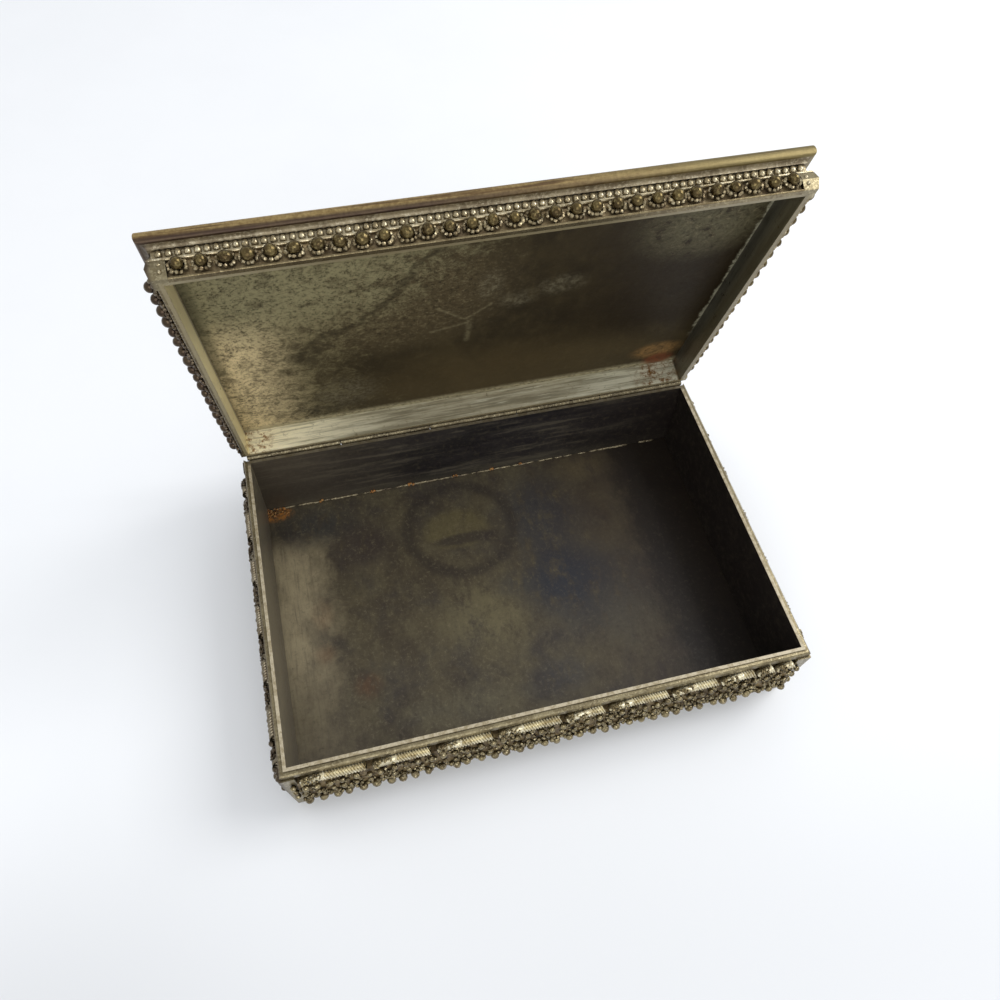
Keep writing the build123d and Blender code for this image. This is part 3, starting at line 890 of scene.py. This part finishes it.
class TRINKET_OT_scrolls(Operator):
    """Lay the ribbed scroll wires under the strip, each with a crusted cap at its start"""

    bl_idname = "trinket.scrolls"
    bl_label = "Scroll Wires"

    def execute(self, context):
        sizes = context.scene.trinket_sizes
        radius = sizes.scroll_radius
        level = STRIP_BOTTOM - 0.15 * MM - radius
        foot = BAND_TOP - 0.2 * MM
        for side, _, rng in each_side("scrolls"):
            pile = Pile()
            caps = Pile()
            for left, width in scroll_places(side):
                start = left + SCROLL_LEAD
                rise = min(SCROLL_RISE, width * 0.45)
                add_ribbed_wire(pile, start, left + width - SCROLL_TRAIL, foot, level, rise, sizes)
                crust = min(CRUST_LENGTH, width * 0.4)
                cap = Vector((start + 0.9 * MM, level - CAP_DROP, 1.2 * MM))
                add_ball(caps, cap, CAP_RADIUS, CAP_FACETS, stretch=(1.2, 0.95, 1.0))
                for _ in range(CAP_CRUMBS):
                    share = rng.random() ** 1.3
                    turn = rng.uniform(-0.2, pi * 0.75)
                    reach = radius * (0.86 + 0.14 * share)
                    spot = Vector((start + share * crust, level - CAP_DROP * (1 - share) ** 2, 0))
                    spot.y += reach * sin(turn)
                    spot.z = radius + reach * abs(cos(turn))
                    crumb = 0.36 * MM * rng.uniform(0.6, 1.1) * (1.1 - 0.4 * share)
                    add_ball(caps, spot, crumb, CRUMB_FACETS, rng)
            finish_piece("scrolls", pile, "ribbed_metal", "base", side, "scroll_wires", crease=80)
            finish_piece("scroll_caps", caps, "crust_metal", "base", side)
        return {"FINISHED"}


class TRINKET_OT_grains(Operator):
    """Set the grains and crumbs on the leaning face of the base band"""

    bl_idname = "trinket.grains"
    bl_label = "Base Grains"

    def execute(self, context):
        sizes = context.scene.trinket_sizes
        down = Vector((0, BAND_EDGE - BAND_TOP, BAND_EDGE_OUT - BAND_TOP_OUT))
        slope_length = down.length
        down.normalize()
        out = Vector((0, down.z, -down.y))
        top = Vector((0, BAND_TOP, BAND_TOP_OUT))
        # Depth of a row on the band, its pitch, the grains' size and how far they stand out
        rows = (
            (1.5 * MM, sizes.grain_pitch, 0.86, 1.75),
            (5.1 * MM, sizes.grain_pitch, 0.66, 1.5),
            (8.8 * MM, sizes.outer_pitch, 1.08, 1.8),
        )
        for side, length, rng in each_side("grains"):
            band = length - 2 * BASE_PLATE_LEG
            pile = Pile()
            outline = [
                (0, BAND_TOP), (BAND_TOP_OUT, BAND_TOP), (BAND_EDGE_OUT, BAND_EDGE), (0, BAND_BOTTOM),
            ]
            bar = add_bar(pile, outline, band)
            roughen(pile, bar, BAND_STEP, BAND_RELIEF, SIDES.index(side) * 7.0)
            finish_piece("band", pile, "band_metal", "base", side, "grain_band")
            pile = Pile()
            for depth, pitch, swell, reach in rows:
                for x in spread(band, pitch):
                    radius = sizes.grain_radius * swell * rng.uniform(0.86, 1.12)
                    spot = top + down * (depth + jitter(rng, 0.45))
                    spot = spot + out * (reach * rng.uniform(0.92, 1.0) * MM - radius)
                    spot.x = x + jitter(rng, 0.35)
                    add_ball(pile, spot, radius, GRAIN_FACETS, rng)
                for end in (-1, 1):
                    radius = sizes.grain_radius * rng.uniform(0.75, 0.9)
                    spot = Vector((end * (length / 2 - 0.9 * MM), 0, 2.0 * MM))
                    spot.y = BAND_TOP - depth + jitter(rng, 0.3)
                    add_ball(pile, spot, radius, GRAIN_FACETS, rng)
            for x in spread(band, BAND_STEP):
                radius = sizes.grain_radius * rng.uniform(0.5, 0.8)
                spot = top + down * (slope_length + rng.uniform(-0.3, 0.7) * MM)
                spot = spot + out * (rng.uniform(0.7, 1.2) * MM - radius)
                spot.x = x + jitter(rng, 0.3)
                add_ball(pile, spot, radius, EDGE_FACETS, rng)
            for _ in range(round(band / MM * CRUMBS_PER_MM)):
                spot = top + down * rng.uniform(0.1 * MM, slope_length - 0.2 * MM)
                spot = spot + out * rng.uniform(0.1, 0.8) * MM
                spot.x = rng.uniform(-band / 2, band / 2)
                add_ball(pile, spot, sizes.crumb_radius * rng.uniform(0.4, 1.0), CRUMB_FACETS, rng)
            finish_piece("grains", pile, "grain_metal", "base", side)
        return {"FINISHED"}


class TRINKET_OT_granules(Operator):
    """Set the ringed granules in the dark channel of the lid, over a plain sill"""

    bl_idname = "trinket.granules"
    bl_label = "Lid Granules"

    def execute(self, context):
        sizes = context.scene.trinket_sizes
        for side, length, rng in each_side("granules"):
            length -= 2 * LID_PLATE_LEG
            bottom = HINGE_RELIEF if side == "back" else SILL_TOP
            level = (bottom + CHANNEL_TOP) / 2
            half_height = (CHANNEL_TOP - bottom) / 2
            pile = Pile()
            add_bar(pile, strip_outline(bottom, CHANNEL_TOP, CHANNEL_OUT), length)
            finish_piece("channel", pile, "channel_metal", "lid", side)
            if side != "back":
                sill_out = SILL_OUT if side in LONG_SIDES else SIDE_SILL_OUT
                sill = strip_outline(SILL_BOTTOM, SILL_TOP, sill_out, CHAMFER, SILL_CHAMFER)
                pile = Pile()
                add_bar(pile, sill, length)
                finish_piece("sill", pile, "sill_metal", "lid", side)
            pile = Pile()
            rings = Pile()
            for x in spread(length, sizes.granule_pitch):
                radius = sizes.granule_radius * rng.uniform(0.93, 1.04)
                centre = Vector((x + jitter(rng, 0.15), level, 0))
                ball = centre + Vector((0, 0.15 * MM, GRANULE_OUT - radius))
                add_ball(pile, ball, radius, GRANULE_FACETS, rng)
                for index in range(sizes.ring_beads):
                    angle = tau * index / sizes.ring_beads + rng.uniform(-0.12, 0.12)
                    radius = sizes.ring_bead_radius * rng.uniform(0.85, 1.12)
                    reach = sizes.ring_radius * rng.uniform(0.97, 1.03)
                    lift = rng.uniform(0.55, 0.95) * MM
                    spot = centre + Vector((reach * cos(angle), 0, CHANNEL_OUT + lift))
                    spot.y += (half_height - radius) * sin(angle)
                    add_ball(rings, spot, radius, CRUMB_FACETS, rng)
            finish_piece("granules", pile, "granule_metal", "lid", side, "granule_strip")
            finish_piece("ring_beads", rings, "ring_metal", "lid", side)
        return {"FINISHED"}


class TRINKET_OT_beads(Operator):
    """String the small beads above the granules and on the lid's corner plates"""

    bl_idname = "trinket.beads"
    bl_label = "Lid Beads"

    def execute(self, context):
        sizes = context.scene.trinket_sizes
        for side, length, rng in each_side("beads"):
            pile = Pile()
            fillet = strip_outline(CHANNEL_TOP, FILLET_TOP, FILLET_OUT, CHAMFER, CHAMFER)
            add_bar(pile, fillet, length, mitre=True)
            add_bar(pile, strip_outline(FILLET_TOP, WIRE_TOP, WIRE_OUT), length, mitre=True)
            middle = (FILLET_TOP + WIRE_TOP) / 2
            for x in spread(length, sizes.bead_pitch):
                radius = sizes.bead_radius * rng.uniform(0.94, 1.04)
                spot = (x + jitter(rng, 0.06), middle, 1.46 * MM - radius)
                add_ball(pile, spot, radius, BEAD_FACETS, stretch=(0.98, 1.3, 1))
            finish_piece("beads", pile, "bead_metal", "lid", side, "bead_wire")
            pile = Pile()
            for end in (-1, 1):
                for height in POST_BEAD_HEIGHTS:
                    x = end * (length / 2 - LID_PLATE_LEG * 0.4)
                    add_ball(pile, (x, height, 1.5 * MM), sizes.post_bead_radius, CAP_FACETS, rng)
            finish_piece("post_beads", pile, "bead_metal", "lid", side)
        return {"FINISHED"}


class TRINKET_OT_cornice(Operator):
    """Run the silvery cove and the gold-brown lip round the lid"""

    bl_idname = "trinket.cornice"
    bl_label = "Cornice"

    def execute(self, context):
        cove_foot = WIRE_OUT + 0.5 * MM
        cove_run = LIP_OUT - 0.9 * MM - cove_foot
        cove = [(0, WIRE_TOP), (cove_foot, WIRE_TOP)]
        steps = 5
        for index in range(1, steps + 1):
            turn = pi / 2 * index / steps
            height = WIRE_TOP + (LIP_BOTTOM - WIRE_TOP) * sin(turn)
            cove.append((cove_foot + cove_run * (1 - cos(turn)), height))
        cove.append((0, LIP_BOTTOM))
        lip = [(0, LIP_BOTTOM)]
        steps = 12
        for index in range(steps + 1):
            turn = pi * (index / steps - 0.5)
            bulge = cos(turn) ** 0.7 if abs(cos(turn)) > 0.001 else 0.0
            height = (LIP_BOTTOM + LID_TOP) / 2 + (LID_TOP - LIP_BOTTOM) / 2 * sin(turn)
            lip.append((LIP_OUT - 0.7 * MM + 0.66 * MM * bulge, height))
        lip += [(-LEDGE, LID_TOP), (-LEDGE, LINING_TOP), (0, LINING_TOP)]
        for side in SIDES:
            for kind, outline, finish, node in (
                ("cove", cove, "cove_metal", None),
                ("cornice", lip, "lip_brass", "cornice"),
            ):
                pile = Pile()
                add_bar(pile, outline, side_length(side), mitre=True)
                finish_piece(kind, pile, finish, "lid", side, node, crease=40)
        return {"FINISHED"}


class TRINKET_OT_solder(Operator):
    """Run the solder seam along the floor and the rusty flux in the corner"""

    bl_idname = "trinket.solder"
    bl_label = "Solder Seam"

    def execute(self, context):
        rng = random.Random(SEEDS["solder"])
        back = BOX_DEPTH / 2 - SHEET
        reach = BOX_WIDTH / 2 - SHEET
        pile = Pile()
        for _ in range(SEAM_DROPS):
            spot = Vector((rng.uniform(-reach + 2 * MM, reach - 2 * MM), back - 0.1 * MM, FLOOR_TOP))
            stretch = (rng.uniform(2.5, 4.5), 1.0, rng.uniform(0.8, 1.3))
            add_ball(pile, spot, rng.uniform(0.3, 0.5) * MM, BEAD_FACETS, stretch=stretch)
        finish_piece("solder_seam", pile, "seam_metal", "base")
        pile = Pile()
        low = FLOOR_TOP + 0.1 * MM
        for x in FLUX_SPOTS:
            for _ in range(SPOT_CRUMBS):
                spot = Vector((x * MM + jitter(rng, 0.7), back - 0.3 * MM, low))
                spot.z += rng.uniform(0, 0.8) * MM
                add_ball(pile, spot, rng.uniform(0.25, 0.5) * MM, CRUMB_FACETS, rng)
        for _ in range(CORNER_CRUMBS):
            along = abs(rng.gauss(0, 0.5))
            spot = Vector((-reach + along * 6.5 * MM, back - rng.uniform(0, 2.6) * MM, low))
            size = rng.uniform(0.25, 0.5) * MM
            add_ball(pile, spot, size, CRUMB_FACETS, rng, stretch=(1.3, 1.3, 0.7))
        finish_piece("rusty_flux", pile, "rusty_solder", "base")
        return {"FINISHED"}


class TRINKET_OT_stage(Operator):
    """Set the pale floor, the soft lights and the camera"""

    bl_idname = "trinket.stage"
    bl_label = "Stage"

    def execute(self, context):
        scene = context.scene
        studio = scene.trinket_studio
        bm = bmesh.new()
        bmesh.ops.create_grid(bm, x_segments=1, y_segments=1, size=3.0)
        mesh = bpy.data.meshes.new("ground")
        bm.to_mesh(mesh)
        bm.free()
        ground = bpy.data.objects.new("ground", mesh)
        scene.collection.objects.link(ground)
        paper = Finish("pale_ground", 0.0)
        x, y = paper.axes()[:2]
        near = paper.fit(y, -10.0, -120.0)
        fibres = paper.fit(paper.noise(0.02, 3.0, 0.55), 0.3, 0.7)
        paper.colour = paper.blend(fibres, studio.ground, studio.ground * 0.985)
        # Painted shade on the ground: darker towards the front, and more so at the front left
        paper.lay(studio.ground * 0.81, near)
        paper.lay(studio.ground * 0.74, paper.both(paper.fit(x, -40.0, -130.0), near))
        mesh.materials.append(paper.done(0.75))

        world = bpy.data.worlds.new("soft_sky")
        world.use_nodes = True
        sky = world.node_tree.nodes["Background"]
        sky.inputs["Color"].default_value = (0.97, 0.985, 1.0, 1.0)
        sky.inputs["Strength"].default_value = studio.sky_strength
        scene.world = world
        for name, place, size, power in (
            ("key_light", (0.52, 0.02, 0.60), 0.42, studio.key_strength),
            ("front_light", (-0.10, -0.62, 0.45), 0.5, studio.key_strength * 0.5),
        ):
            lamp = bpy.data.lights.new(name, "AREA")
            lamp.shape = "SQUARE"
            lamp.size = size
            lamp.energy = power
            holder = bpy.data.objects.new(name, lamp)
            holder.location = place
            aim = Vector((0, 0, 0.03)) - Vector(place)
            holder.rotation_euler = aim.to_track_quat("-Z", "Y").to_euler()
            scene.collection.objects.link(holder)

        camera = bpy.data.cameras.new("camera")
        camera.sensor_width = 36.0
        camera.lens = studio.camera_lens
        camera.clip_start = 0.005
        holder = bpy.data.objects.new("camera", camera)
        holder.location = studio.camera_place
        holder.rotation_euler = studio.camera_turn
        scene.collection.objects.link(holder)
        scene.camera = holder
        scene.view_settings.view_transform = "Standard"
        return {"FINISHED"}


OPERATORS = (
    TRINKET_OT_sheet,
    TRINKET_OT_scrolls,
    TRINKET_OT_grains,
    TRINKET_OT_granules,
    TRINKET_OT_beads,
    TRINKET_OT_cornice,
    TRINKET_OT_solder,
    TRINKET_OT_stage,
)


class TRINKET_PT_panel(Panel):
    """Lists the sizes, the colours and the pieces of the box"""

    bl_idname = "TRINKET_PT_panel"
    bl_label = "Trinket Box"
    bl_space_type = "VIEW_3D"
    bl_region_type = "UI"
    bl_category = "Trinket Box"

    def draw(self, context):
        for settings in ("trinket_sizes", "trinket_finish", "trinket_studio"):
            group = getattr(context.scene, settings)
            box = self.layout.box()
            for name in group.__annotations__:
                box.prop(group, name)
        for operator in OPERATORS:
            self.layout.operator(operator.bl_idname)


GROUPS = (
    ("trinket_sizes", BorderSizes),
    ("trinket_finish", FinishColours),
    ("trinket_studio", StudioSettings),
)


def register():
    for name, group in GROUPS:
        bpy.utils.register_class(group)
        setattr(bpy.types.Scene, name, PointerProperty(type=group))
    for operator in OPERATORS:
        bpy.utils.register_class(operator)
    bpy.utils.register_class(TRINKET_PT_panel)


def unregister():
    bpy.utils.unregister_class(TRINKET_PT_panel)
    for operator in reversed(OPERATORS):
        bpy.utils.unregister_class(operator)
    for name, group in reversed(GROUPS):
        delattr(bpy.types.Scene, name)
        bpy.utils.unregister_class(group)


def main():
    register()
    for operator in OPERATORS:
        group, name = operator.bl_idname.split(".")
        getattr(getattr(bpy.ops, group), name)()


if __name__ == "__main__":
    main()
